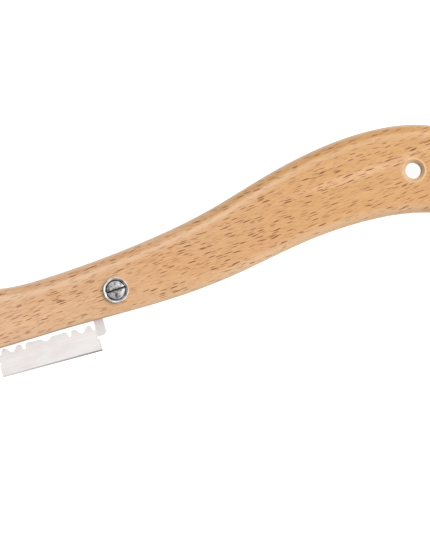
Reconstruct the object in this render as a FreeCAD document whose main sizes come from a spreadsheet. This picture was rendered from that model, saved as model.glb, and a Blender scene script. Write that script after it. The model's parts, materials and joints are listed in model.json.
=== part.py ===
import FreeCAD, Part
import math
import os
import Sketcher

# Bread lame: an S-curved beech handle with a kerf sawn into the lower edge of
# its head, a double-edge razor blade standing half out of that kerf, and one
# slotted screw with a cup washer and a barrel nut that pinches the kerf shut.
#
# Frame: millimetres. The lame lies on its rear face. +X runs from the head to
# the butt, +Z is the front face's normal, and the origin is the centre of the
# footprint on the rear face. The blade's cutting edge points towards -Y.

V = FreeCAD.Vector
doc = FreeCAD.newDocument("bread_lame")

# ---------------------------------------------------------------------------
# Dimension sheet
# ---------------------------------------------------------------------------
sheet = doc.addObject("Spreadsheet::Sheet", "dims")
row_at = [1]
value_of = {}


def cell(alias, value, note=""):
    row = row_at[0]
    row_at[0] += 1
    sheet.set("A%d" % row, note or alias.replace("_", " "))
    sheet.set("B%d" % row, repr(round(float(value), 7)))
    sheet.setAlias("B%d" % row, alias)
    value_of[alias] = round(float(value), 7)


# Handle
cell("thick", 14.0, "handle thickness")
cell("round_jaw", 0.6, "roundover at the crisp lower edge of the head")
cell("round_head", 3.6, "roundover along the back")
cell("round_grip", 3.0, "roundover along the belly of the grip")
cell("hang_x", 75.39, "hang hole centre")
cell("hang_y", -1.65)
cell("hang_radius", 2.95)
cell("hang_chamfer", 1.0)
cell("screw_x", -39.30, "clamp screw axis")
cell("screw_y", -0.09)
cell("bore_radius", 2.75, "cross bore for the barrel nut")
cell("counterbore_radius", 4.9, "rear counterbore for the nut flange")
cell("counterbore_depth", 1.2)

# Kerf, laid out from the middle of the blade: u along the edge, v into the wood
cell("blade_x", -68.96, "centre of the blade")
cell("blade_y", -4.93)
cell("blade_tilt", -7.57, "angle of the cutting edge to X, degrees")
cell("kerf_gap", 0.3, "kerf width")
cell("kerf_deep", 12.0, "kerf floor above the blade centre line")
cell("kerf_front", 40.0, "kerf runs out through the nose")
cell("kerf_back", 36.0, "end of the full-depth kerf, past the screw")
cell("saw_radius", 30.0, "radius of the saw that leaves the run-out")

# Blade, double-edge pattern, nominally 43 x 22 x 0.1 mm
cell("blade_long", 43.0)
cell("edge_long", 37.0)
cell("blade_wide", 22.0)
cell("blade_thick", 0.1)
cell("tab_wide", 11.5)
cell("tab_round", 1.5)
cell("notch_radius", 0.5)
cell("notch_u", 18.42)
cell("notch_v", 6.12)
cell("bevel_wide", 0.85)
cell("edge_thick", 0.016)
cell("pin_hole_radius", 2.3, "round centre hole")

# Screw, washer, nut
cell("shank_radius", 1.95)
cell("shank_tip_z", 5.5)
cell("head_radius", 3.33)
cell("head_seat_z", 14.5)
cell("head_top_z", 15.25)
cell("head_crown", 0.3)
cell("slot_wide", 0.95)
cell("slot_deep", 0.75)
cell("slot_angle", -3.4, "slot direction at rest, degrees to X")
cell("washer_radius", 4.6)
cell("washer_hole_radius", 2.15)
cell("washer_top_z", 15.15)
cell("recess_radius", 3.43)
cell("recess_mouth_radius", 4.22)
cell("recess_flare", 0.5)
cell("lip_radius", 4.42, "rim eases down from here to the outer wall")
cell("lip_drop", 0.12)
cell("flange_radius", 4.8)
cell("flange_rear_z", 0.1)
cell("barrel_radius", 2.7)
cell("barrel_top_z", 12.4)
cell("nut_bore_radius", 2.0)
cell("nut_floor_z", 2.2)

# Outline of the handle: five cubic splines that run round it clockwise. They
# meet at five junctions, each with a place, a heading in degrees and an arm to
# the control point before and after it, so the outline is smooth there.
JUNCTION = {
    "back_butt": (88.82, 9.92, -32.054, 7.48, 3.3),
    "butt_grip": (74.78, -17.66, 155.861, 3.3, 7.92),
    "grip_jaw": (-42.203, -8.298, 172.482, 7.884, 7.884),
    "jaw_nose": (-89.17, -2.91, 172.616, 7.936, 1.2),
    "nose_back": (-83.82, 19.17, -29.136, 1.4, 7.579),
}
# control points between the junctions
MIDDLE = {
    "back": [(-62.72, 13.52), (-40.84, 12.18), (-18.92, 11.87), (2.98, 13.09),
             (24.58, 17.15), (46.34, 19.26), (68.44, 18.06)],
    "butt": [(94.17, 5.58), (95.57, -0.32), (94.77, -7.52), (91.47, -15.72),
             (85.87, -22.52)],
    "grip": [(52.06, -10.99), (28.44, -9.73), (4.88, -11.79), (-18.80, -11.29)],
    "jaw": [(-65.70, -5.10)],
    "nose": [(-92.76, -2.83), (-95.61, -0.12), (-94.97, 3.59), (-94.57, 6.96),
             (-94.10, 10.51), (-93.66, 13.92), (-93.24, 17.52), (-90.61, 20.11),
             (-86.99, 20.89)],
}
ENDS = {"back": ("nose_back", "back_butt"), "butt": ("back_butt", "butt_grip"),
        "grip": ("butt_grip", "grip_jaw"), "jaw": ("grip_jaw", "jaw_nose"),
        "nose": ("jaw_nose", "nose_back")}
ORDER = ["back", "butt", "grip", "jaw", "nose"]
OUTLINE = {}
for name in ORDER:
    x0, y0, head, _, arm = JUNCTION[ENDS[name][0]]
    start = (x0 + arm * math.cos(math.radians(head)), y0 + arm * math.sin(math.radians(head)))
    x1, y1, head, arm, _ = JUNCTION[ENDS[name][1]]
    stop = (x1 - arm * math.cos(math.radians(head)), y1 - arm * math.sin(math.radians(head)))
    OUTLINE[name] = [(x0, y0), start] + MIDDLE[name] + [stop, (x1, y1)]
    for i, (x, y) in enumerate(OUTLINE[name]):
        cell("%s_x_%d" % (name, i), x)
        cell("%s_y_%d" % (name, i), y)

# Cut-out of the blade, one quarter of it: (u, v) corners from the middle slot
# out to the end slit. The slot narrows away from the round hole, drops into a
# thin cross slit, rises over a small tooth into a rounded diamond, and ends in
# a second slit behind a pointed tooth.
QUARTER = [(0.0, 1.3), (4.6, 1.3), (6.2, 1.12), (7.1, 1.12), (7.62, 1.5), (7.85, 2.2),
           (7.98, 2.85), (8.2, 3.1), (8.72, 3.1), (8.95, 2.85), (9.12, 1.9), (9.4, 1.3),
           (9.75, 1.08), (10.5, 1.05), (10.95, 1.2), (12.0, 2.5), (12.45, 2.95),
           (12.9, 3.08), (13.35, 2.95), (13.75, 2.6), (14.5, 1.75), (15.1, 1.2),
           (15.5, 1.05), (15.95, 1.05), (16.35, 1.3), (16.75, 2.2), (17.0, 2.9),
           (17.25, 3.15), (17.6, 3.15), (17.85, 2.9), (18.0, 1.9), (18.0, 0.0)]
for i, (u, w) in enumerate(QUARTER):
    cell("cut_u_%d" % i, u)
    cell("cut_v_%d" % i, w)

doc.recompute()


def dim(alias):
    return value_of[alias]


def plane_of(body, role):
    return [f for f in body.Origin.OriginFeatures if f.Role == role][0]


def new_sketch(body, name, role):
    sketch = body.newObject("Sketcher::SketchObject", name)
    sketch.AttachmentSupport = [(plane_of(body, role), "")]
    sketch.MapMode = "FlatFace"
    return sketch


def bind_point(sketch, geo, pos, x, y, ex, ey):
    """Hold one point of a sketch at coordinates read from the sheet."""
    k = sketch.addConstraint(Sketcher.Constraint("DistanceX", -1, 1, geo, pos, x))
    sketch.setExpression("Constraints[%d]" % k, ex)
    k = sketch.addConstraint(Sketcher.Constraint("DistanceY", -1, 1, geo, pos, y))
    sketch.setExpression("Constraints[%d]" % k, ey)


def add_spline(sketch, name):
    pts = OUTLINE[name]
    n = len(pts)
    spans = n - 3
    curve = Part.BSplineCurve()
    curve.buildFromPolesMultsKnots(
        [V(x, y, 0) for x, y in pts], [4] + [1] * (spans - 1) + [4],
        [i / spans for i in range(spans + 1)], False, 3)
    geo = sketch.addGeometry(curve, False)
    sketch.exposeInternalGeometry(geo)
    for i, (x, y) in enumerate(pts):
        bind_point(sketch, geo + 1 + i, 3, x, y,
                   "dims.%s_x_%d" % (name, i), "dims.%s_y_%d" % (name, i))
    return geo


def add_polygon(sketch, corners, exprs):
    """Closed polygon whose every corner is held by the sheet."""
    n = len(corners)
    first = None
    for i in range(n):
        a, b = corners[i], corners[(i + 1) % n]
        g = sketch.addGeometry(Part.LineSegment(V(a[0], a[1], 0), V(b[0], b[1], 0)), False)
        if first is None:
            first = g
        bind_point(sketch, g, 1, a[0], a[1], exprs[i][0], exprs[i][1])
    for i in range(n):
        sketch.addConstraint(Sketcher.Constraint(
            "Coincident", first + i, 2, first + (i + 1) % n, 1))


def primitive(kind, name, exprs, base=(0, 0, 0), spin=None):
    obj = doc.addObject(kind, name)
    for prop, ex in exprs.items():
        obj.setExpression(prop, ex)
    obj.Placement.Base = V(*base)
    if spin is not None:
        obj.Placement.Rotation = FreeCAD.Rotation(V(0, 0, 1), spin)
    return obj


def boolean(kind, name, base, tool):
    obj = doc.addObject(kind, name)
    obj.Base = base
    obj.Tool = tool
    return obj


def check(obj, least=0.0):
    doc.recompute()
    if "Invalid" in obj.State or "Error" in obj.State:
        raise RuntimeError("%s failed: %s" % (obj.Name, obj.State))
    if obj.Shape.isNull() or not obj.Shape.isValid() or obj.Shape.Volume <= least:
        raise RuntimeError("%s has no valid shape" % obj.Name)
    return obj


# ---------------------------------------------------------------------------
# Handle
# ---------------------------------------------------------------------------
blank = doc.addObject("PartDesign::Body", "handle_blank")
blank.Label = "handle_blank"
outline = new_sketch(blank, "handle_outline", "XY_Plane")
for name in ORDER:
    add_spline(outline, name)
doc.recompute()
slab = blank.newObject("PartDesign::Pad", "handle_slab")
slab.Profile = outline
slab.setExpression("Length", "dims.thick")
check(blank)

# Roundovers of both faces. The back of the head is well rounded, the jaw that
# holds the blade is left crisp, and the grip fades from one to the other.
RADII = {
    "back": ("round_head", "round_head"),
    "butt": ("round_head", "round_grip"),
    "grip": ("round_grip", "round_jaw"),
    "jaw": ("round_jaw", "round_jaw"),
    "nose": ("round_jaw", "round_head"),
}
rounds = []
for index, edge in enumerate(slab.Shape.Edges, 1):
    if edge.BoundBox.ZLength > 0.01:
        continue
    a = edge.valueAt(edge.FirstParameter)
    b = edge.valueAt(edge.LastParameter)
    for name in ORDER:
        p, q = OUTLINE[name][0], OUTLINE[name][-1]
        if math.hypot(a.x - p[0], a.y - p[1]) + math.hypot(b.x - q[0], b.y - q[1]) < 0.05:
            rounds.append((index, dim(RADII[name][0]), dim(RADII[name][1])))
if len(rounds) != 10:
    raise RuntimeError("expected five edges on each face, found %d" % len(rounds))
eased = doc.addObject("Part::Fillet", "handle_eased")
eased.Label = "handle_eased"
eased.Base = blank
eased.Edges = rounds
check(eased)

# Kerf: a thin plate the saw removes, and the saw's own disc for the run-out.
tilt = dim("blade_tilt")
cu, su = math.cos(math.radians(tilt)), math.sin(math.radians(tilt))


def on_blade(u, w, z=0.0):
    """Row-frame point at (u, w) from the middle of the blade."""
    return (dim("blade_x") + u * cu - w * su, dim("blade_y") + u * su + w * cu, z)


mid = dim("thick") / 2
kerf_plate = primitive(
    "Part::Box", "kerf_plate",
    {"Length": "dims.kerf_front + dims.kerf_back", "Width": "dims.kerf_deep + 12",
     "Height": "dims.kerf_gap"},
    on_blade(-dim("kerf_front"), -12.0, mid - dim("kerf_gap") / 2), tilt)
kerf_disc = primitive(
    "Part::Cylinder", "kerf_runout",
    {"Radius": "dims.saw_radius", "Height": "dims.kerf_gap"},
    on_blade(dim("kerf_back"), dim("kerf_deep") - dim("saw_radius"),
             mid - dim("kerf_gap") / 2), tilt)
kerf = boolean("Part::Fuse", "kerf", kerf_plate, kerf_disc)

bore = primitive("Part::Cylinder", "screw_bore",
                 {"Radius": "dims.bore_radius", "Height": "dims.thick + 2"},
                 (dim("screw_x"), dim("screw_y"), -1.0))
counterbore = primitive("Part::Cylinder", "rear_counterbore",
                        {"Radius": "dims.counterbore_radius",
                         "Height": "dims.counterbore_depth + 1"},
                        (dim("screw_x"), dim("screw_y"), -1.0))
hang = primitive("Part::Cylinder", "hang_bore",
                 {"Radius": "dims.hang_radius", "Height": "dims.thick + 2"},
                 (dim("hang_x"), dim("hang_y"), -1.0))
sink_front = primitive("Part::Cone", "hang_sink_front",
                       {"Radius1": "dims.hang_radius",
                        "Radius2": "dims.hang_radius + 2 * dims.hang_chamfer",
                        "Height": "2 * dims.hang_chamfer"},
                       (dim("hang_x"), dim("hang_y"), dim("thick") - dim("hang_chamfer")))
sink_rear = primitive("Part::Cone", "hang_sink_rear",
                      {"Radius2": "dims.hang_radius",
                       "Radius1": "dims.hang_radius + 2 * dims.hang_chamfer",
                       "Height": "2 * dims.hang_chamfer"},
                      (dim("hang_x"), dim("hang_y"), -dim("hang_chamfer")))

handle = eased
for label, tool in (("handle_sawn", kerf), ("handle_bored", bore),
                    ("handle_counterbored", counterbore), ("handle_hung", hang),
                    ("handle_sunk", sink_front), ("handle_finished", sink_rear)):
    before = handle.Shape.Volume
    handle = boolean("Part::Cut", label, handle, tool)
    check(handle)
    if handle.Shape.Volume > before - 1.0:
        raise RuntimeError("%s removed nothing" % label)
handle.Label = "handle"

# ---------------------------------------------------------------------------
# Razor blade, in its own (u, v) frame about its centre, then laid in the kerf
# ---------------------------------------------------------------------------
edge_plate = primitive("Part::Box", "blade_edge_plate",
                       {"Length": "dims.edge_long", "Width": "dims.blade_wide",
                        "Height": "dims.blade_thick"},
                       (-dim("edge_long") / 2, -dim("blade_wide") / 2,
                        -dim("blade_thick") / 2))
tab_plate = primitive("Part::Box", "blade_tab_plate",
                      {"Length": "dims.blade_long", "Width": "dims.tab_wide",
                       "Height": "dims.blade_thick"},
                      (-dim("blade_long") / 2, -dim("tab_wide") / 2,
                       -dim("blade_thick") / 2))
check(tab_plate)
tabs = doc.addObject("Part::Fillet", "blade_tabs")
tabs.Base = tab_plate
tabs.Edges = [(i, dim("tab_round"), dim("tab_round"))
              for i, e in enumerate(tab_plate.Shape.Edges, 1) if e.BoundBox.ZLength > 0.05]
check(tabs)
blade_plan = boolean("Part::Fuse", "blade_plan", edge_plate, tabs)
check(blade_plan)
for k, (su_, sv_) in enumerate(((1, 1), (-1, 1), (-1, -1), (1, -1))):
    notch = primitive("Part::Cylinder", "blade_notch_%d" % k,
                      {"Radius": "dims.notch_radius", "Height": "1"},
                      (su_ * dim("notch_u"), sv_ * dim("notch_v"), -0.5))
    blade_plan = boolean("Part::Cut", "blade_notched_%d" % k, blade_plan, notch)
    check(blade_plan)

# the pierced slot, four mirrored quarters in one closed sketch
slot_body = doc.addObject("PartDesign::Body", "blade_slot")
slot_body.Label = "blade_slot"
slot_sketch = new_sketch(slot_body, "blade_slot_outline", "XY_Plane")
last = len(QUARTER) - 1
loop, names = [], []
for su_, sv_, seq in ((1, 1, range(0, last + 1)), (1, -1, range(last - 1, -1, -1)),
                      (-1, -1, range(1, last + 1)), (-1, 1, range(last - 1, 0, -1))):
    for i in seq:
        loop.append((su_ * QUARTER[i][0], sv_ * QUARTER[i][1]))
        names.append((("" if su_ > 0 else "-") + "dims.cut_u_%d" % i,
                      ("" if sv_ > 0 else "-") + "dims.cut_v_%d" % i))
add_polygon(slot_sketch, loop, names)
doc.recompute()
slot_pad = slot_body.newObject("PartDesign::Pad", "blade_slot_pad")
slot_pad.Profile = slot_sketch
slot_pad.Length = 2
slot_pad.Midplane = True
check(slot_body)
pin_hole = primitive("Part::Cylinder", "blade_pin_hole",
                     {"Radius": "dims.pin_hole_radius", "Height": "2"}, (0, 0, -1))
blade_pierced = boolean("Part::Cut", "blade_pierced", blade_plan, slot_body)
check(blade_pierced)
blade_holed = boolean("Part::Cut", "blade_holed", blade_pierced, pin_hole)
check(blade_holed)

# section across the blade: flat in the middle, ground down to both edges
grind_body = doc.addObject("PartDesign::Body", "blade_grind")
grind_body.Label = "blade_grind"
grind_sketch = new_sketch(grind_body, "blade_section", "YZ_Plane")
half_w, half_t = dim("blade_wide") / 2, dim("blade_thick") / 2
flat_w, tip_t = half_w - dim("bevel_wide"), dim("edge_thick") / 2
half_w_x = "dims.blade_wide / 2"
flat_w_x = "(dims.blade_wide / 2 - dims.bevel_wide)"
half_t_x = "dims.blade_thick / 2"
tip_t_x = "dims.edge_thick / 2"
section = [(half_w, tip_t, half_w_x, tip_t_x), (flat_w, half_t, flat_w_x, half_t_x),
           (-flat_w, half_t, "-" + flat_w_x, half_t_x), (-half_w, tip_t, "-" + half_w_x, tip_t_x),
           (-half_w, -tip_t, "-" + half_w_x, "-" + tip_t_x),
           (-flat_w, -half_t, "-" + flat_w_x, "-" + half_t_x),
           (flat_w, -half_t, flat_w_x, "-" + half_t_x), (half_w, -tip_t, half_w_x, "-" + tip_t_x)]
add_polygon(grind_sketch, [(a, b) for a, b, _, _ in section], [(a, b) for _, _, a, b in section])
doc.recompute()
grind_pad = grind_body.newObject("PartDesign::Pad", "blade_grind_pad")
grind_pad.Profile = grind_sketch
grind_pad.Length = 60
grind_pad.Midplane = True
check(grind_body)
blade = doc.addObject("Part::MultiCommon", "razor_blade")
blade.Label = "razor_blade"
blade.Shapes = [blade_holed, grind_body]
check(blade)
blade.Placement = FreeCAD.Placement(V(dim("blade_x"), dim("blade_y"), mid),
                                    FreeCAD.Rotation(V(0, 0, 1), tilt))
check(blade)


# ---------------------------------------------------------------------------
# Turned metal parts, each revolved about the screw's axis
# ---------------------------------------------------------------------------
def turned(label, corners, exprs):
    """Revolve a closed (radius, height) profile about Z."""
    body = doc.addObject("PartDesign::Body", label + "_turned")
    body.Label = label + "_turned"
    sketch = new_sketch(body, label + "_profile", "XZ_Plane")
    add_polygon(sketch, corners, exprs)
    doc.recompute()
    rev = body.newObject("PartDesign::Revolution", label + "_revolve")
    rev.Profile = sketch
    rev.ReferenceAxis = (sketch, ["V_Axis"])
    rev.Angle = 360
    check(body)
    return body


def eased_rims(label, body, picks):
    """Round the circular edges found at (radius, height)."""
    edges = []
    for i, e in enumerate(body.Shape.Edges, 1):
        c = e.Curve
        if not hasattr(c, "Radius"):
            continue
        for radius, height, r in picks:
            if abs(c.Radius - radius) < 0.01 and abs(c.Center.z - height) < 0.01:
                edges.append((i, r, r))
    if len(edges) != len(picks):
        raise RuntimeError("%s: found %d of %d rims" % (label, len(edges), len(picks)))
    obj = doc.addObject("Part::Fillet", label + "_rims")
    obj.Base = body
    obj.Edges = edges
    return check(obj)


axis_at = V(dim("screw_x"), dim("screw_y"), 0)

# Cup washer: a floor, a dished mouth round the screw head, and a narrow rim.
washer_body = turned("cup_washer", [
    (dim("washer_hole_radius"), dim("thick")), (dim("washer_radius"), dim("thick")),
    (dim("washer_radius"), dim("washer_top_z") - dim("lip_drop")),
    (dim("lip_radius"), dim("washer_top_z")), (dim("recess_mouth_radius"), dim("washer_top_z")),
    (dim("recess_radius"), dim("washer_top_z") - dim("recess_flare")), (dim("recess_radius"), dim("head_seat_z")),
    (dim("washer_hole_radius"), dim("head_seat_z"))], [
    ("dims.washer_hole_radius", "dims.thick"), ("dims.washer_radius", "dims.thick"),
    ("dims.washer_radius", "dims.washer_top_z - dims.lip_drop"),
    ("dims.lip_radius", "dims.washer_top_z"), ("dims.recess_mouth_radius", "dims.washer_top_z"),
    ("dims.recess_radius", "dims.washer_top_z - dims.recess_flare"), ("dims.recess_radius", "dims.head_seat_z"),
    ("dims.washer_hole_radius", "dims.head_seat_z")])
washer = eased_rims("cup_washer", washer_body, [
    (dim("washer_radius"), dim("washer_top_z") - dim("lip_drop"), 0.1)])
washer.Label = "cup_washer"
washer.Placement.Base = axis_at

# Clamp screw: crowned head, then the shank, with a chamfered tip.
crown = dim("head_crown")
screw_corners = [(0, dim("shank_tip_z")), (dim("shank_radius") - 0.5, dim("shank_tip_z")),
                 (dim("shank_radius"), dim("shank_tip_z") + 0.5),
                 (dim("shank_radius"), dim("head_seat_z")),
                 (dim("head_radius"), dim("head_seat_z")), (dim("head_radius"), dim("head_top_z")),
                 (dim("head_radius") * 0.62, dim("head_top_z") + crown * 0.72),
                 (0, dim("head_top_z") + crown)]
screw_exprs = [("0", "dims.shank_tip_z"), ("dims.shank_radius - 0.5", "dims.shank_tip_z"),
               ("dims.shank_radius", "dims.shank_tip_z + 0.5"),
               ("dims.shank_radius", "dims.head_seat_z"),
               ("dims.head_radius", "dims.head_seat_z"), ("dims.head_radius", "dims.head_top_z"),
               ("dims.head_radius * 0.62", "dims.head_top_z + dims.head_crown * 0.72"),
               ("0", "dims.head_top_z + dims.head_crown")]
screw_body = turned("clamp_screw", screw_corners, screw_exprs)
screw_soft = eased_rims("clamp_screw", screw_body, [
    (dim("head_radius"), dim("head_top_z"), 0.3),
    (dim("head_radius") * 0.62, dim("head_top_z") + crown * 0.72, 2.0)])
driver_slot = primitive("Part::Box", "driver_slot",
                        {"Length": "12", "Width": "dims.slot_wide", "Height": "5"})
turn = math.radians(dim("slot_angle"))
driver_slot.Placement = FreeCAD.Placement(
    V(-6 * math.cos(turn) + dim("slot_wide") / 2 * math.sin(turn),
      -6 * math.sin(turn) - dim("slot_wide") / 2 * math.cos(turn),
      dim("head_top_z") + crown - dim("slot_deep")),
    FreeCAD.Rotation(V(0, 0, 1), dim("slot_angle")))
screw = boolean("Part::Cut", "clamp_screw", screw_soft, driver_slot)
screw.Label = "clamp_screw"
check(screw)
screw.Placement.Base = axis_at

# Barrel nut: flange in the rear counterbore, barrel through both cheeks.
nut_body = turned("barrel_nut", [
    (0, dim("flange_rear_z")), (dim("flange_radius"), dim("flange_rear_z")),
    (dim("flange_radius"), dim("counterbore_depth")),
    (dim("barrel_radius"), dim("counterbore_depth")), (dim("barrel_radius"), dim("barrel_top_z")),
    (dim("nut_bore_radius") + 0.35, dim("barrel_top_z")),
    (dim("nut_bore_radius"), dim("barrel_top_z") - 0.35), (dim("nut_bore_radius"), dim("nut_floor_z")),
    (0, dim("nut_floor_z") - 0.9)], [
    ("0", "dims.flange_rear_z"), ("dims.flange_radius", "dims.flange_rear_z"),
    ("dims.flange_radius", "dims.counterbore_depth"),
    ("dims.barrel_radius", "dims.counterbore_depth"), ("dims.barrel_radius", "dims.barrel_top_z"),
    ("dims.nut_bore_radius + 0.35", "dims.barrel_top_z"),
    ("dims.nut_bore_radius", "dims.barrel_top_z - 0.35"), ("dims.nut_bore_radius", "dims.nut_floor_z"),
    ("0", "dims.nut_floor_z - 0.9")])
nut = eased_rims("barrel_nut", nut_body, [(dim("flange_radius"), dim("flange_rear_z"), 0.35)])
nut.Label = "barrel_nut"
nut.Placement.Base = axis_at

# ---------------------------------------------------------------------------
# Test everything, then write one STEP file per piece
# ---------------------------------------------------------------------------
doc.recompute()
for obj in doc.Objects:
    if "Invalid" in obj.State or "Error" in obj.State:
        raise RuntimeError("%s failed: %s" % (obj.Name, obj.State))
pieces = [handle, blade, screw, washer, nut]
for obj in pieces:
    if obj.Shape.isNull() or not obj.Shape.isValid() or len(obj.Shape.Solids) != 1:
        raise RuntimeError("%s is not one valid solid" % obj.Label)
os.makedirs("parts", exist_ok=True)
for obj in pieces:
    obj.Shape.exportStep("parts/%s.step" % obj.Label)
    b = obj.Shape.BoundBox
    print("%-12s volume %9.2f mm3  X %.2f..%.2f  Y %.2f..%.2f  Z %.2f..%.2f" % (
        obj.Label, obj.Shape.Volume, b.XMin, b.XMax, b.YMin, b.YMax, b.ZMin, b.ZMax))
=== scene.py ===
import json
import math

import bpy
from mathutils import Matrix, Vector


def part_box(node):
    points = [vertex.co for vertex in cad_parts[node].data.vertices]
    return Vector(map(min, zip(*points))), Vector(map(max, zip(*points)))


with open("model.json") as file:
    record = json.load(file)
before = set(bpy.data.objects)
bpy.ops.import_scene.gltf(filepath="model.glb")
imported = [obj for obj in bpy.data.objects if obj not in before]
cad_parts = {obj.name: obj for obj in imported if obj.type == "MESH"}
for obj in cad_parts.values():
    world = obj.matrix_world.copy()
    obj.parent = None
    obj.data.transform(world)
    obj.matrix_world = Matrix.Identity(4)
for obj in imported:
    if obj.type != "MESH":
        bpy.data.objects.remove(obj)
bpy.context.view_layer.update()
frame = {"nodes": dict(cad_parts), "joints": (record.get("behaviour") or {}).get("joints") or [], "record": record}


nodes = frame["nodes"]
scene = bpy.context.scene
joints = {j["name"]: j for j in frame["joints"]}


def srgb(r, g, b):
    """0-255 display values as a linear colour."""
    out = []
    for v in (r, g, b):
        v /= 255.0
        out.append(v / 12.92 if v <= 0.04045 else ((v + 0.055) / 1.055) ** 2.4)
    return (*out, 1.0)


# ---------------------------------------------------------------------------
# Camera: straight above the front face, rolled so that the handle climbs to
# the right, from about two metres away
# ---------------------------------------------------------------------------
ROLL = math.radians(-22.68)
cam_data = bpy.data.cameras.new("camera")
cam_data.sensor_fit = "VERTICAL"
cam_data.sensor_height = 36.0
cam_data.sensor_width = 36.0
cam_data.lens = 356.6
cam_data.clip_start = 0.05
cam_data.clip_end = 20.0
camera = bpy.data.objects.new("camera", cam_data)
camera.location = (-0.00363, -0.00661, 1.914)
camera.rotation_euler = (0.0, 0.0, ROLL)
scene.collection.objects.link(camera)
scene.camera = camera
scene.view_settings.view_transform = "Standard"
scene.view_settings.look = "None"
scene.view_settings.exposure = 0.0
scene.view_settings.gamma = 1.0

# the picture's right and up, laid on the table
RIGHT = Vector((math.cos(ROLL), math.sin(ROLL), 0.0))
UP = Vector((-math.sin(ROLL), math.cos(ROLL), 0.0))


# ---------------------------------------------------------------------------
# Node helpers
# ---------------------------------------------------------------------------
class Tree:
    """Small helper that adds and links shader nodes."""

    def __init__(self, tree):
        self.t = tree

    def add(self, kind, **props):
        n = self.t.nodes.new(kind)
        for k, v in props.items():
            setattr(n, k, v)
        return n

    def link(self, a, b):
        self.t.links.new(a, b)

    def put(self, socket, value):
        if isinstance(value, bpy.types.NodeSocket):
            self.link(value, socket)
        else:
            socket.default_value = value

    def math(self, op, a, b=0.0, c=None, clamp=False):
        n = self.add("ShaderNodeMath", operation=op, use_clamp=clamp)
        self.put(n.inputs[0], a)
        self.put(n.inputs[1], b)
        if c is not None:
            self.put(n.inputs[2], c)
        return n.outputs[0]

    def band(self, value, lo, hi, out_lo=0.0, out_hi=1.0, smooth=True):
        """Map value from lo..hi to out_lo..out_hi, clamped."""
        n = self.add("ShaderNodeMapRange", interpolation_type="SMOOTHSTEP" if smooth else "LINEAR",
                     clamp=True)
        self.put(n.inputs["Value"], value)
        n.inputs["From Min"].default_value = lo
        n.inputs["From Max"].default_value = hi
        n.inputs["To Min"].default_value = out_lo
        n.inputs["To Max"].default_value = out_hi
        return n.outputs["Result"]

    def mix(self, fac, a, b, mode="MIX"):
        n = self.add("ShaderNodeMix", data_type="RGBA", blend_type=mode)
        self.put(n.inputs[0], fac)
        self.put(n.inputs[6], a)
        self.put(n.inputs[7], b)
        return n.outputs[2]

    def place(self, vector, loc=(0, 0, 0), rot=(0, 0, 0), scale=(1, 1, 1)):
        """Scale and turn a vector: TEXTURE mapping undoes the placement given."""
        n = self.add("ShaderNodeMapping", vector_type="POINT")
        self.put(n.inputs["Vector"], vector)
        n.inputs["Location"].default_value = loc
        n.inputs["Rotation"].default_value = rot
        n.inputs["Scale"].default_value = scale
        return n.outputs[0]

    def noise(self, vector, scale=1.0, detail=2.0, rough=0.5, distortion=0.0):
        n = self.add("ShaderNodeTexNoise")
        self.put(n.inputs["Vector"], vector)
        n.inputs["Scale"].default_value = scale
        n.inputs["Detail"].default_value = detail
        n.inputs["Roughness"].default_value = rough
        n.inputs["Distortion"].default_value = distortion
        return n.outputs["Fac"]

    def voronoi(self, vector, feature="F1"):
        n = self.add("ShaderNodeTexVoronoi", feature=feature)
        self.put(n.inputs["Vector"], vector)
        n.inputs["Scale"].default_value = 1.0
        n.inputs["Randomness"].default_value = 0.78
        return n.outputs["Distance"], n.outputs["Color"]


def new_material(name):
    m = bpy.data.materials.new(name)
    m.use_nodes = True
    nt = m.node_tree
    nt.nodes.clear()
    t = Tree(nt)
    out = t.add("ShaderNodeOutputMaterial")
    bsdf = t.add("ShaderNodeBsdfPrincipled")
    t.link(bsdf.outputs[0], out.inputs[0])
    return m, t, bsdf, out


def object_mm(t):
    """Row-frame position in millimetres."""
    co = t.add("ShaderNodeTexCoord").outputs["Object"]
    return t.place(co, scale=(1000, 1000, 1000))


def split(t, vector):
    n = t.add("ShaderNodeSeparateXYZ")
    t.put(n.inputs[0], vector)
    return n.outputs[0], n.outputs[1], n.outputs[2]


def paint(node, material):
    o = nodes[node]
    if not o.data.materials:
        o.data.materials.append(material)
    for s in o.material_slots:
        s.material = material


# ---------------------------------------------------------------------------
# Beech
# ---------------------------------------------------------------------------
HEAD = (*srgb(207, 168, 133)[:3], 1)
BUTT = (*srgb(202, 155, 101)[:3], 1)
PALE = (*srgb(221, 180, 140)[:3], 1)
WARM = (*srgb(205, 150, 101)[:3], 1)
STREAK = (*srgb(165, 108, 64)[:3], 1)
FLECK = (*srgb(112, 50, 12)[:3], 1)
BACK_ROUND_SHADE = (0.85, 0.83, 0.79, 1)
ARRIS = (*srgb(178, 158, 136)[:3], 1)
PAINTED_SHADE_BROWN = (*srgb(112, 74, 44)[:3], 1)
HANG = [v * 1000 for v in next(m for m in frame["record"]["mounts"] if m["name"] == "hang_hole")["pos_m"][:2]]
PORE = (*srgb(160, 106, 64)[:3], 1)
BELLY_GREY = (*srgb(186, 158, 128)[:3], 1)
PAINTED_LIGHT_TONE = (*srgb(208, 179, 149)[:3], 1)
RIM_HIGHLIGHT = (*srgb(215, 182, 151)[:3], 1)


def outline_of(node, stations):
    """Lowest and highest y of a node's mesh, in mm, at each x given in mm."""
    mesh = nodes[node].data
    co = [v.co * 1000.0 for v in mesh.vertices]
    low, high = [1e9] * len(stations), [-1e9] * len(stations)
    for e in mesh.edges:
        a, b = co[e.vertices[0]], co[e.vertices[1]]
        if a.x > b.x:
            a, b = b, a
        for i, at in enumerate(stations):
            if a.x <= at <= b.x and b.x - a.x > 1e-6:
                yy = a.y + (b.y - a.y) * (at - a.x) / (b.x - a.x)
                low[i], high[i] = min(low[i], yy), max(high[i], yy)
    return low, high


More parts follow.
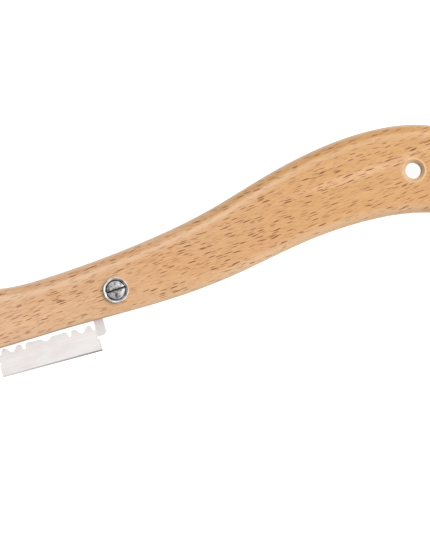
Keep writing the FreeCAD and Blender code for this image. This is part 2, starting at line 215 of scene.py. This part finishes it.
def curve_of(t, x, stations, values):
    """A smooth function of x through the values, both in mm."""
    n = t.add("ShaderNodeFloatCurve")
    x0, x1 = stations[0], stations[-1]
    t.link(t.band(x, x0, x1, smooth=False), n.inputs["Value"])
    n.inputs["Factor"].default_value = 1.0
    c = n.mapping.curves[0]
    while len(c.points) < len(stations):
        c.points.new(0.5, 0.5)
    for i, (at, value) in enumerate(zip(stations, values)):
        c.points[i].location = ((at - x0) / (x1 - x0), (value + 25.0) / 50.0)
    n.mapping.update()
    return t.math("SUBTRACT", t.math("MULTIPLY", n.outputs[0], 50.0), 25.0)


def make_beech():
    m, t, bsdf, out = new_material("beech")
    mm = object_mm(t)
    x, y, z = split(t, mm)
    lo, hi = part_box("handle")
    first, last = lo[0] * 1000 + 3.0, hi[0] * 1000 - 3.0
    stations = [first + (last - first) * i / 26.0 for i in range(27)]
    low, high = outline_of("handle", stations)
    from_belly = t.math("SUBTRACT", y, curve_of(t, x, stations, low))
    from_back = t.math("SUBTRACT", curve_of(t, x, stations, high), y)
    # grain frame: turned a little off the handle's length, and gently wavy
    grain = t.place(mm, rot=(0, 0, math.radians(2.7)))
    wander = t.noise(t.place(grain, scale=(0.05, 0.10, 0.06)), detail=2.0)
    wander = t.math("MULTIPLY", t.math("SUBTRACT", wander, 0.5), 2.2)
    offset = t.add("ShaderNodeCombineXYZ")
    t.link(wander, offset.inputs[1])
    bent = t.add("ShaderNodeVectorMath", operation="ADD")
    t.link(grain, bent.inputs[0])
    t.link(offset.outputs[0], bent.inputs[1])
    g = bent.outputs[0]

    # broad colour: pinker at the head, yellower at the butt, soft bands along the grain
    along = t.band(x, -95, 40, smooth=False)
    base = t.mix(along, HEAD, BUTT)
    bands = t.noise(t.place(g, scale=(0.012, 0.16, 0.10)), detail=3.0, rough=0.55)
    base = t.mix(t.band(bands, 0.48, 0.72, 0.0, 0.6), base, PALE)
    cloud = t.noise(t.place(g, loc=(13, 5, 2), scale=(0.035, 0.09, 0.09)), detail=2.0)
    base = t.mix(t.band(cloud, 0.45, 0.78, 0.0, 0.5), base, WARM)
    # fine fibre streaks
    streak = t.noise(t.place(g, loc=(3, 9, 1), scale=(0.22, 2.3, 1.2)), detail=4.0, rough=0.65)
    base = t.mix(t.band(streak, 0.30, 0.60, 0.42, 0.0), base, STREAK)

    # medullary rays: thin plates that show as short dark dashes along the grain
    def flecks(lx, ly, lz, near, far, shift, strong, weak):
        v = t.place(g, loc=shift, scale=(1 / lx, 1 / ly, 1 / lz))
        dist, colour = t.voronoi(v)
        body = t.band(dist, near, far, 1.0, 0.0)
        pick = split(t, colour)[0]
        strength = t.band(pick, 0.12, 0.80, weak, strong)
        return t.math("MULTIPLY", body, strength)

    # cells one handle thickness deep, so the rays come out on both faces
    big = flecks(8.0, 0.94, 14.0, 0.16, 0.24, (0, 0, 0.5), 1.0, 0.50)
    mid = flecks(6.8, 0.84, 14.0, 0.15, 0.23, (31.3, 17.1, 0.5), 1.0, 0.30)
    more = flecks(7.4, 0.78, 14.0, 0.15, 0.23, (11.7, 43.6, 0.5), 0.9, 0.20)
    small = flecks(3.4, 0.46, 14.0, 0.12, 0.25, (7.3, 2.1, 0.5), 0.50, 0.0)
    dark = t.math("MAXIMUM", t.math("MAXIMUM", big, mid), t.math("MAXIMUM", more, small))
    dark = t.math("MULTIPLY", dark, t.band(cloud, 0.30, 0.60, 0.80, 1.0))
    normal = t.add("ShaderNodeNewGeometry").outputs["Normal"]
    nx, ny, nz = split(t, normal)
    nz = t.math("ABSOLUTE", nz)
    face = t.band(nz, 0.30, 0.85)
    dark = t.math("MULTIPLY", dark, t.band(nz, 0.35, 0.90, 0.16, 1.0))
    colour = t.mix(t.math("MULTIPLY", dark, 0.96), base, FLECK)
    # fine pores, which are all that the side faces show plainly
    pores = t.noise(t.place(g, loc=(5, 1, 8), scale=(0.30, 3.6, 3.6)), detail=3.0, rough=0.6)
    colour = t.mix(t.band(pores, 0.56, 0.72, 0.0, 0.30), colour, PORE)

    # painted shade: the back's rounding is painted darker, as it turns away from the light, and a
    # painted highlight line runs where the rounding runs out into the flat face
    back_round_shade = t.band(from_back, 2.2, 3.1, 1.0, 0.0)
    colour = t.mix(back_round_shade, colour, t.mix(1.0, colour, BACK_ROUND_SHADE, "MULTIPLY"))
    # painted highlight: a lighter line just inside the back's rounding, weaker towards the butt
    rim_highlight = t.math("MULTIPLY", t.band(from_back, 2.6, 3.6), t.band(from_back, 3.9, 5.8, 1.0, 0.0))
    rim_highlight = t.math("MULTIPLY", rim_highlight, t.band(x, 10, 70, 0.55, 0.28))
    colour = t.mix(rim_highlight, colour, RIM_HIGHLIGHT)
    # painted light: the face is painted lighter in a wide band along the belly side of the grip
    wide = t.math("SUBTRACT", from_belly, t.band(x, -30, 12, -0.5, 1.6))
    belly_painted_light = t.band(t.math("ADD", wide, t.math("MULTIPLY", bands, 2.0)), 0.0, 4.0, 1.0, 0.0)
    belly_painted_light = t.math("MULTIPLY", belly_painted_light, face)
    colour = t.mix(t.math("MULTIPLY", belly_painted_light, t.math("SUBTRACT", 0.50, t.math("MULTIPLY", dark, 0.50))),
                   colour, PAINTED_LIGHT_TONE)
    # the belly's rounded arris is painted a little grey
    belly_grey = t.math("MULTIPLY", t.band(from_belly, 0.1, 2.0, 1.0, 0.0), t.band(nz, 0.30, 0.90))
    colour = t.mix(t.math("MULTIPLY", belly_grey, 0.75), colour, BELLY_GREY)
    # painted shadow: a dark line along the kerf side of the handle's lower edge, where the blade goes in
    kerf_shadow = t.math("MULTIPLY", t.band(from_belly, 0.15, 0.75, 1.0, 0.0), t.band(x, -48, -38, 1.0, 0.0))
    kerf_shadow = t.math("MULTIPLY", kerf_shadow, t.band(nz, 0.05, 0.30))
    colour = t.mix(t.math("MULTIPLY", kerf_shadow, 0.45), colour, PAINTED_SHADE_BROWN)
    # a thin grey line painted along the outline itself
    arris = t.math("MULTIPLY", t.band(from_back, 0.35, 1.15, 1.0, 0.0), t.band(nz, 0.05, 0.40))
    colour = t.mix(t.math("MULTIPLY", arris, 0.70), colour, ARRIS)
    # painted shade: the drilled hole's bore is painted darker than the faces, for the shade inside the hole
    hx = t.math("SUBTRACT", x, HANG[0])
    hy = t.math("SUBTRACT", y, HANG[1])
    around = t.math("SQRT", t.math("ADD", t.math("MULTIPLY", hx, hx), t.math("MULTIPLY", hy, hy)))
    bore_shade = t.math("MULTIPLY", t.band(around, 4.2, 4.6, 1.0, 0.0), t.band(nz, 0.15, 0.55, 1.0, 0.0))
    colour = t.mix(bore_shade, colour, PAINTED_SHADE_BROWN)
    # painted light and shade: the hang hole's countersink ring is painted light on its -X side and orange-brown on
    # its +X side
    countersink_paint_mask = t.math("MULTIPLY", t.band(around, 4.2, 4.9, 1.0, 0.0), t.band(nz, 0.45, 0.65))
    shaded = t.mix(t.band(hx, -1.5, 2.5), PAINTED_LIGHT_TONE, (0.80, 0.54, 0.33, 1))
    colour = t.mix(t.math("MULTIPLY", countersink_paint_mask, 0.55), colour, shaded)

    t.link(colour, bsdf.inputs["Base Color"])
    rough = t.band(streak, 0.3, 0.75, 0.52, 0.42)
    t.link(t.math("ADD", rough, t.math("MULTIPLY", dark, 0.10)), bsdf.inputs["Roughness"])
    bsdf.inputs["Coat Weight"].default_value = 0.10
    bsdf.inputs["Coat Roughness"].default_value = 0.38
    bsdf.inputs["Specular IOR Level"].default_value = 0.40
    height = t.math("SUBTRACT", t.math("MULTIPLY", streak, 0.5), t.math("MULTIPLY", dark, 0.8))
    bump = t.add("ShaderNodeBump")
    bump.inputs["Strength"].default_value = 0.35
    bump.inputs["Distance"].default_value = 0.00006
    t.link(height, bump.inputs["Height"])
    t.link(bump.outputs[0], bsdf.inputs["Normal"])
    return m


paint("handle", make_beech())


# ---------------------------------------------------------------------------
# Blade steel
# ---------------------------------------------------------------------------
def make_blade():
    m, t, bsdf, out = new_material("blade_steel")
    mm = object_mm(t)
    lo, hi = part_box("razor_blade")
    cx, cy = [(lo[i] + hi[i]) * 500 for i in (0, 1)]
    local = t.place(t.place(mm, loc=(-cx, -cy, 0)), rot=(0, 0, math.radians(7.57)))
    u, v, w = split(t, local)
    away = t.math("ABSOLUTE", v)
    ground = t.band(away, 10.36, 10.56)
    rolled = t.noise(t.place(local, scale=(0.04, 2.2, 1)), detail=4.0, rough=0.6)
    cloud = t.noise(t.place(local, scale=(0.16, 0.22, 1)), detail=3.0, rough=0.6)
    tint = t.noise(t.place(local, loc=(9, 4, 0), scale=(0.25, 0.35, 1)), detail=2.0)
    flat = t.mix(t.band(rolled, 0.3, 0.7), (0.77, 0.735, 0.715, 1), (0.81, 0.78, 0.76, 1))
    flat = t.mix(t.band(cloud, 0.40, 0.70, 0.0, 0.7), flat, (0.75, 0.665, 0.67, 1))
    flat = t.mix(t.band(tint, 0.50, 0.75, 0.0, 0.5), flat, (0.72, 0.745, 0.68, 1))
    # hardened end tabs are duller than the ground body
    flat = t.mix(t.band(u, 17.6, 18.6, 0.0, 0.40), flat, (0.55, 0.51, 0.51, 1))
    lines = t.noise(t.place(local, scale=(6.0, 0.3, 1)), detail=3.0, rough=0.6)
    bevel = t.mix(t.band(lines, 0.3, 0.7), (0.17, 0.155, 0.165, 1), (0.30, 0.28, 0.29, 1))
    bevel = t.mix(t.band(u, -16, 14, 1.0, 0.0, smooth=False), bevel, (0.62, 0.60, 0.605, 1))
    honed = t.band(away, 10.72, 10.80)
    bevel = t.mix(t.math("MULTIPLY", honed, 0.25), bevel, (0.50, 0.49, 0.49, 1))
    t.link(t.mix(ground, flat, bevel), bsdf.inputs["Base Color"])
    bsdf.inputs["Metallic"].default_value = 1.0
    t.link(t.math("ADD", t.band(rolled, 0.2, 0.8, 0.30, 0.38), t.math("MULTIPLY", ground, 0.08)),
           bsdf.inputs["Roughness"])
    bump = t.add("ShaderNodeBump")
    bump.inputs["Strength"].default_value = 0.2
    bump.inputs["Distance"].default_value = 0.00001
    t.link(rolled, bump.inputs["Height"])
    t.link(bump.outputs[0], bsdf.inputs["Normal"])
    return m


paint("razor_blade", make_blade())


# ---------------------------------------------------------------------------
# Screw, washer and nut
# ---------------------------------------------------------------------------
lo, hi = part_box("cup_washer")
screw_at = ((lo[0] + hi[0]) * 500, (lo[1] + hi[1]) * 500)
washer_top = hi[2] * 1000
head_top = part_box("clamp_screw")[1][2] * 1000
SLOT = -3.4      # direction of the driver slot, degrees to X


def make_plated(name, light, dark, rough, wear, centre, painted_shade=()):
    """Nickel plate, blotched and turned; the last argument lists (lowest z, highest z,
    colour, inner radius) in millimetres of the recesses painted dark as shade."""
    m, t, bsdf, out = new_material(name)
    mm = object_mm(t)
    local = t.place(mm, loc=(-centre[0], -centre[1], 0))
    x, y, z = split(t, local)
    radius = t.math("SQRT", t.math("ADD", t.math("MULTIPLY", x, x), t.math("MULTIPLY", y, y)))
    blot = t.noise(t.place(local, scale=(0.75, 0.75, 0.75)), detail=4.0, rough=0.65, distortion=0.6)
    scratch = t.noise(t.place(local, rot=(0, 0, 0.5), scale=(0.8, 6.0, 2.0)), detail=3.0, rough=0.7)
    tone = t.math("ADD", t.math("MULTIPLY", blot, 0.7), t.math("MULTIPLY", scratch, 0.3))
    colour = t.mix(t.band(tone, 0.40, 0.58), dark, light)
    rings = t.add("ShaderNodeTexWave", wave_type="RINGS", rings_direction="Z")
    t.put(rings.inputs["Vector"], local)
    rings.inputs["Scale"].default_value = 2.2
    rings.inputs["Distortion"].default_value = 1.5
    rings.inputs["Detail"].default_value = 2.0
    colour = t.mix(t.math("MULTIPLY", rings.outputs["Fac"], wear), colour, dark)
    # painted shade: each listed band darkens a recess as shade
    for low, high, shade_colour, inner in painted_shade:
        shade_mask = t.band(z, low, high, 1.0, 0.0)
        # the driver slot: one of its walls is painted darker than the other, as shade
        if not inner:
            a = math.radians(SLOT)
            across = t.math("ADD", t.math("MULTIPLY", x, -math.sin(a)), t.math("MULTIPLY", y, math.cos(a)))
            shade_mask = t.math("MULTIPLY", shade_mask, t.band(across, -0.26, -0.02, 0.10, 1.0))
        # a ring inside the given radius, painted dark as shade
        if inner:
            shade_mask = t.math("MULTIPLY", shade_mask, t.band(radius, inner - 0.08, inner + 0.02, 1.0, 0.0))
        colour = t.mix(shade_mask, colour, shade_colour)
    t.link(colour, bsdf.inputs["Base Color"])
    bsdf.inputs["Metallic"].default_value = 1.0
    t.link(t.band(tone, 0.3, 0.7, rough + 0.12, rough), bsdf.inputs["Roughness"])
    bump = t.add("ShaderNodeBump")
    bump.inputs["Strength"].default_value = 0.8
    bump.inputs["Distance"].default_value = 0.00005
    t.link(tone, bump.inputs["Height"])
    t.link(bump.outputs[0], bsdf.inputs["Normal"])
    return m


# the screw's driver slot is painted dark as shade, more on one wall
paint("clamp_screw", make_plated("screw_steel", (0.60, 0.58, 0.585, 1), (0.085, 0.08, 0.085, 1),
                                 0.26, 0.30, screw_at,
                                 ((head_top - 0.72, head_top - 0.34, (0.028, 0.025, 0.024, 1), 0),)))
# the washer's narrow gap round the screw head is painted dark as shade
paint("cup_washer", make_plated("washer_plate", (0.78, 0.77, 0.74, 1), (0.40, 0.385, 0.37, 1),
                                0.16, 0.10, screw_at,
                                ((washer_top - 0.56, washer_top - 0.30, (0.04, 0.036, 0.034, 1), 3.85),)))
paint("barrel_nut", make_plated("nut_steel", (0.58, 0.56, 0.52, 1), (0.30, 0.29, 0.27, 1),
                                0.28, 0.15, screw_at))

# ---------------------------------------------------------------------------
# Studio
# ---------------------------------------------------------------------------
bpy.ops.mesh.primitive_plane_add(size=6.0, location=(0, 0, -0.0003))
floor = bpy.context.object
floor.name = "floor"
fm, t, bsdf, out = new_material("paper_floor")
bsdf.inputs["Base Color"].default_value = (0.35, 0.35, 0.35, 1)
bsdf.inputs["Roughness"].default_value = 0.9
bsdf.inputs["Specular IOR Level"].default_value = 0.1
bsdf.inputs["Emission Color"].default_value = (1, 1, 1, 1)
bsdf.inputs["Emission Strength"].default_value = 0.90
floor.data.materials.append(fm)

world = bpy.data.worlds.new("studio")
scene.world = world
world.use_nodes = True
world.node_tree.nodes.clear()
w = Tree(world.node_tree)
w_out = w.add("ShaderNodeOutputWorld")
w_bg = w.add("ShaderNodeBackground")
w.link(w_bg.outputs[0], w_out.inputs[0])
way = w.add("ShaderNodeTexCoord").outputs["Generated"]
wx, wy, wz = split(w, way)
side = RIGHT * 0.90 + UP * 0.43
lean = w.math("ADD", w.math("MULTIPLY", wx, side.x), w.math("MULTIPLY", wy, side.y))
high = w.band(wz, 0.05, 0.85, 0.80, 1.08)
level = w.math("MULTIPLY", high, w.band(lean, -0.62, 0.62, 0.26, 1.74, smooth=False))
w_bg.inputs["Color"].default_value = (1, 1, 1, 1)
w.link(level, w_bg.inputs["Strength"])


def area(name, at, size, power, colour=(1, 1, 1)):
    data = bpy.data.lights.new(name, "AREA")
    data.shape = "DISK"
    data.size = size
    data.energy = power
    data.color = colour
    o = bpy.data.objects.new(name, data)
    o.location = at
    o.rotation_euler = (Vector((0, 0, 0)) - Vector(at)).to_track_quat("-Z", "Y").to_euler()
    scene.collection.objects.link(o)
    return o


key = RIGHT * 0.80 + UP * 0.35
area("key", (key.x * 1.1, key.y * 1.1, 1.3), 0.8, 9.0)
